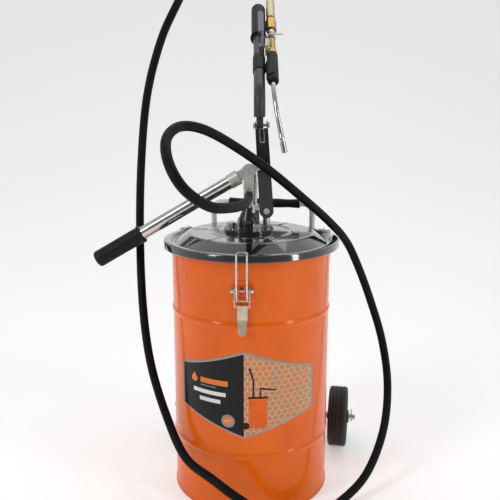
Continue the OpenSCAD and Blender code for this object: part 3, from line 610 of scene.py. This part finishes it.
# lid
lid = {
    "top": 0.506,
    "flat": 0.119,
    "hole": 0.0305,
    "sheet": 0.0015,
    "rings": 58,  # rings of points across the flat, close enough for the pressed lines
    "rib": 0.0014,  # how far the pressed lines stand up
    "ribTurn": 20,
    "sixth": 60,  # the pressed lines repeat after this many degrees
    "arcRadius": 0.077,
    "arcTurn": 38,
    "arcHalf": 0.0042,
    "dashTurn": 30,
    "dash": (0.086, 0.113),
    "dashHalf": 0.0048,
    "rim": [
        (0.1436, 0.4879), (0.1446, 0.4873), (0.1478, 0.4872), (0.1485, 0.4876), (0.1518, 0.4927),
        (0.1524, 0.4934), (0.1535, 0.4936), (0.1640, 0.4936), (0.1653, 0.4931), (0.1660, 0.4918),
        (0.1660, 0.4822), (0.1662, 0.4815), (0.1658, 0.4803), (0.1646, 0.4794), (0.1634, 0.4796),
        (0.1628, 0.4806), (0.1632, 0.4820), (0.1643, 0.4830), (0.1643, 0.4915), (0.1537, 0.4915),
        (0.1528, 0.4912), (0.1494, 0.4862), (0.1480, 0.4856), (0.1436, 0.4856),
    ],
    "sides": 240,
}


def ribHeight(x, y):
    # Height of the pressed arcs and dashes at one place on the lid's flat.
    radius = math.hypot(x, y)
    turn = (math.degrees(math.atan2(y, x)) - lid["ribTurn"]) % lid["sixth"]
    arc = lid["arcTurn"]
    if turn <= arc:
        away = abs(radius - lid["arcRadius"])
    else:
        # past the arc, the distance is to the nearer of its end and the next arc's start
        edge = arc if turn < (arc + lid["sixth"]) / 2 else lid["sixth"]
        away = math.hypot(radius - lid["arcRadius"], math.radians(turn - edge) * lid["arcRadius"])
    # a dash points straight out from the middle of each sixth
    swing = math.radians(turn - lid["dashTurn"])
    along = radius * math.cos(swing)
    across = radius * math.sin(swing)
    out = max(lid["dash"][0] - along, 0, along - lid["dash"][1])
    best = max(1 - away / lid["arcHalf"], 1 - math.hypot(across, out) / lid["dashHalf"])
    best = max(0.0, min(1.0, best))
    return lid["rib"] * best * best * (3 - 2 * best)


def makeLid():
    top = lid["top"]
    flat = lid["flat"]
    hole = lid["hole"]
    under = top - lid["sheet"]
    last = lid["rings"] - 1
    outline = [(hole + k * (flat - 0.003 - hole) / last, top) for k in range(lid["rings"])]
    outline += [(flat - 0.001, top - 0.0001), (flat + 0.0008, top - 0.0006), (flat + 0.003, top - 0.0017)]
    outline += lid["rim"] + [(flat - 0.0006, under), (hole, under)]
    mesh = latheMesh("lidPressing", outline, lid["sides"])
    for vert in mesh.vertices:
        if vert.co.z > top - 0.0002:
            vert.co.z += ribHeight(vert.co.x, vert.co.y)
    piece = addPiece("lidPressing", mesh, "drum", makeFinish("lidPaint"), 60)
    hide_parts("lid")


makeLid()
print("lid done")

# clamp hooks
clamps = {
    "turns": {"a": -5.5, "b": 114.5, "c": 234.5},
    "wire": 0.0018,
    "half": 0.009,
    "eye": 0.004,
    "bend": 0.0045,
    "sides": 14,
    "line": [(-0.1600, 0.413), (-0.1655, 0.425), (-0.1692, 0.438), (-0.1692, 0.4945), (-0.1640, 0.4957),
             (-0.1537, 0.4957)],
}


def makeHooks():
    half = clamps["half"]
    side = clamps["line"]
    eye = half + clamps["eye"]
    places = [(-eye, *side[0])]
    places += [(-half, y, z) for y, z in side]
    places += [(half, y, z) for y, z in reversed(side)]
    places += [(eye, *side[0])]
    line = roundedLine(places, clamps["bend"])
    for letter, turn in clamps["turns"].items():
        mesh = sweepMesh("hookWire_" + letter, line, clamps["wire"], clamps["sides"])
        mesh.transform(Matrix.Rotation(math.radians(turn), 4, "Z"))
        piece = addPiece("hookWire_" + letter, mesh, "hook_" + letter, makeFinish("zinc"), 60)
        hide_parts("clamp_hook_" + letter)


makeHooks()
print("clamps done")

# small parts of the head and gun
smallParts = {
    "channelBack": {"low": (0.0115, 0.0123, 0.664), "high": (0.0295, 0.0133, 0.6975), "corner": 0.0003},
    "slotEdge": {"foot": (0.0297, 0.0099, 0.542), "top": (0.0189, 0.0099, 0.711),
                 "from": 0.1334, "to": 0.1560, "half": 0.0040, "wire": 0.00045,
                 "steps": 12, "sides": 8},
    "copperRing": {"foot": (0.016, 0.01293, 0.75483), "aside": 0.026, "below": 0.006,
                   "inside": 0.0077, "radius": 0.0088, "swell": 0.0006, "from": 0.2722, "to": 0.2765,
                   "sides": 48},
}


def chamferedBox(name, low, high, corner):
    bm = bmesh.new()
    bmesh.ops.create_cube(bm, size=1)
    size = Vector(high) - Vector(low)
    bm.transform(Matrix.Translation((Vector(high) + Vector(low)) / 2) @ Matrix.Diagonal((*size, 1)))
    bmesh.ops.bevel(bm, geom=list(bm.edges), offset=corner, segments=2, affect="EDGES", profile=0.5)
    return meshFrom(name, bm)


def slotLine():
    # The outline of the rounded slot, as a closed line of points.
    edge = smallParts["slotEdge"]
    half = edge["half"]
    steps = edge["steps"]
    foot = Vector(edge["foot"])
    up = (Vector(edge["top"]) - foot).normalized()
    across = Vector((up.z, 0, -up.x))
    line = []
    for k in range(steps + 1):
        angle = math.pi * (1 + k / steps)
        line.append(foot + up * (edge["from"] + half * math.sin(angle)) + across * half * math.cos(angle))
    for k in range(steps + 1):
        angle = math.pi * k / steps
        line.append(foot + up * (edge["to"] - half * (1 - math.sin(angle)))
                    + across * half * math.cos(angle))
    return line + line[:1]


def ringPlace():
    # A frame on the gun's own line, beside the folding handle.
    ring = smallParts["copperRing"]
    x, y, z = ring["foot"]
    start = (x + ring["aside"], y - ring["below"] * math.cos(handleLean),
             z + ring["below"] * math.sin(handleLean))
    return placeAlong(start, (0, math.sin(handleLean), math.cos(handleLean)))


def makeSmallParts():
    spot = smallParts["channelBack"]
    mesh = chamferedBox("channelBack", spot["low"], spot["high"], spot["corner"])
    addPiece("channelBack", mesh, "drum", makeFinish("blackPaint"))
    edge = smallParts["slotEdge"]
    mesh = sweepMesh("slotEdge", slotLine(), edge["wire"], edge["sides"])
    addPiece("slotEdge", mesh, "drum", makeFinish("zinc"))
    ring = smallParts["copperRing"]
    r = ring["radius"]
    outline = [(ring["inside"], ring["from"]), (r, ring["from"]),
               (r + ring["swell"], (ring["from"] + ring["to"]) / 2), (r, ring["to"]),
               (ring["inside"], ring["to"])]
    mesh = latheMesh("copperRing", outline, ring["sides"], ringPlace())
    addPiece("copperRing", mesh, "handle", makeFinish("copper"))
    cadNodes["bleed_screw"].data.materials[0] = makeFinish("whiteBead")
    print("small parts done")


makeSmallParts()

# wheels
wheel = {
    "radius": 0.065,
    "side": 0.1675,
    "axle": (0.1615, 0.065),
    "turn": -10,
    "wall": [
        (0.042, -0.0150), (0.0450, -0.0168), (0.0480, -0.0188), (0.0500, -0.0195), (0.0505, -0.0190),
        (0.0515, -0.0190), (0.0520, -0.0196), (0.0570, -0.0200), (0.0600, -0.0195),
    ],
    "shoulder": [(0.0022, -0.0180), (0.0006, -0.0155), (0.0002, -0.0125)],  # depth below the tread
    "grooves": (-0.009, -0.003, 0.003, 0.009),
    "groove": [(0.0, -0.0016), (0.0016, -0.0009), (0.0018, 0.0), (0.0016, 0.0009), (0.0, 0.0016)],
    "sides": 128,
}


def makeTyres():
    r = wheel["radius"]
    flank = wheel["wall"] + [(r - depth, z) for depth, z in wheel["shoulder"]]
    outline = list(flank)
    for middle in wheel["grooves"]:
        outline += [(r - depth, middle + z) for depth, z in wheel["groove"]]
    outline += [(radius, -z) for radius, z in reversed(flank)]
    spin = Matrix.Rotation(math.radians(wheel["turn"]), 4, "Z")
    for name, side in (("left", -1), ("right", 1)):
        place = spin @ placeAlong((side * wheel["side"], *wheel["axle"]), (1, 0, 0))
        mesh = latheMesh("tyreTread_" + name, outline, wheel["sides"], place)
        piece = addPiece("tyreTread_" + name, mesh, "wheel_" + name, makeFinish("tyreRubber"), 50)
        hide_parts("tyre_" + name)


makeTyres()
print("wheels done")

# studio
studio = {
    "floor": (0.80, 0.80, 0.80),
    "floorGlow": 0.36,
    "worldFront": 0.16,  # the side behind the camera is darker, so gloss stays deep
    "worldBack": 0.85,
    "front": -6.0,
    "half": 8,
    "curveStart": 0.9,  # the floor curves up into the backdrop from here
    "curve": 2.6,
    "height": 6.0,
    "lights": {
        # place, what it points at, width and height, power
        "keyBox": ((-1.9, -1.6, 1.9), (0, 0, 0.4), (0.5, 1.9), 24),
        "fillBox": ((1.9, -1.3, 1.2), (0, 0, 0.4), (0.35, 1.9), 14),
        "topBox": ((0.1, 1.2, 2.4), (0, 0.1, 0.5), (1.8, 1.0), 6),
    },
}


def addLight(name, place, target, size, power):
    data = bpy.data.lights.new(name, "AREA")
    data.shape = "RECTANGLE"
    data.size = size[0]
    data.size_y = size[1]
    data.energy = power
    lamp = bpy.data.objects.new(name, data)
    lamp.location = place
    way = Vector(target) - Vector(place)
    lamp.rotation_euler = way.to_track_quat("-Z", "Y").to_euler()
    bpy.context.scene.collection.objects.link(lamp)


def makeStudio():
    start = studio["curveStart"]
    curve = studio["curve"]
    half = studio["half"]
    profile = [(studio["front"], 0.0), (start, 0.0)]
    for k in range(1, 13):
        angle = math.radians(k * 7.5)
        profile.append((start + curve * math.sin(angle), curve - curve * math.cos(angle)))
    profile.append((start + curve, studio["height"]))
    bm = bmesh.new()
    rows = [[bm.verts.new((x, y, z - 0.0005)) for x in (-half, half)] for y, z in profile]
    for low, high in zip(rows, rows[1:]):
        bm.faces.new((low[0], low[1], high[1], high[0]))
    mesh = meshFrom("studioFloor", bm)
    material = bpy.data.materials.new("studioPaper")
    material.use_nodes = True
    shader = material.node_tree.nodes["Principled BSDF"]
    shader.inputs["Base Color"].default_value = (*studio["floor"], 1)
    shader.inputs["Roughness"].default_value = 0.85
    shader.inputs["Emission Color"].default_value = (1, 1, 1, 1)
    shader.inputs["Emission Strength"].default_value = studio["floorGlow"]
    floor = addPiece("studioFloor", mesh, None, material)
    world = bpy.data.worlds.new("studioWorld")
    world.use_nodes = True
    tree = world.node_tree
    background = tree.nodes["Background"]
    background.inputs["Color"].default_value = (1, 1, 1, 1)
    direction = tree.nodes.new("ShaderNodeTexCoord")
    split = tree.nodes.new("ShaderNodeSeparateXYZ")
    tree.links.new(direction.outputs["Generated"], split.inputs["Vector"])
    fade = tree.nodes.new("ShaderNodeMapRange")
    fade.inputs["From Min"].default_value = -1.0
    fade.inputs["From Max"].default_value = 0.8
    fade.inputs["To Min"].default_value = studio["worldFront"]
    fade.inputs["To Max"].default_value = studio["worldBack"]
    tree.links.new(split.outputs["Y"], fade.inputs["Value"])
    tree.links.new(fade.outputs["Result"], background.inputs["Strength"])
    bpy.context.scene.world = world
    bpy.context.scene.view_settings.view_transform = "Standard"
    for name, row in studio["lights"].items():
        addLight(name, *row)
    print("studio done")


makeStudio()
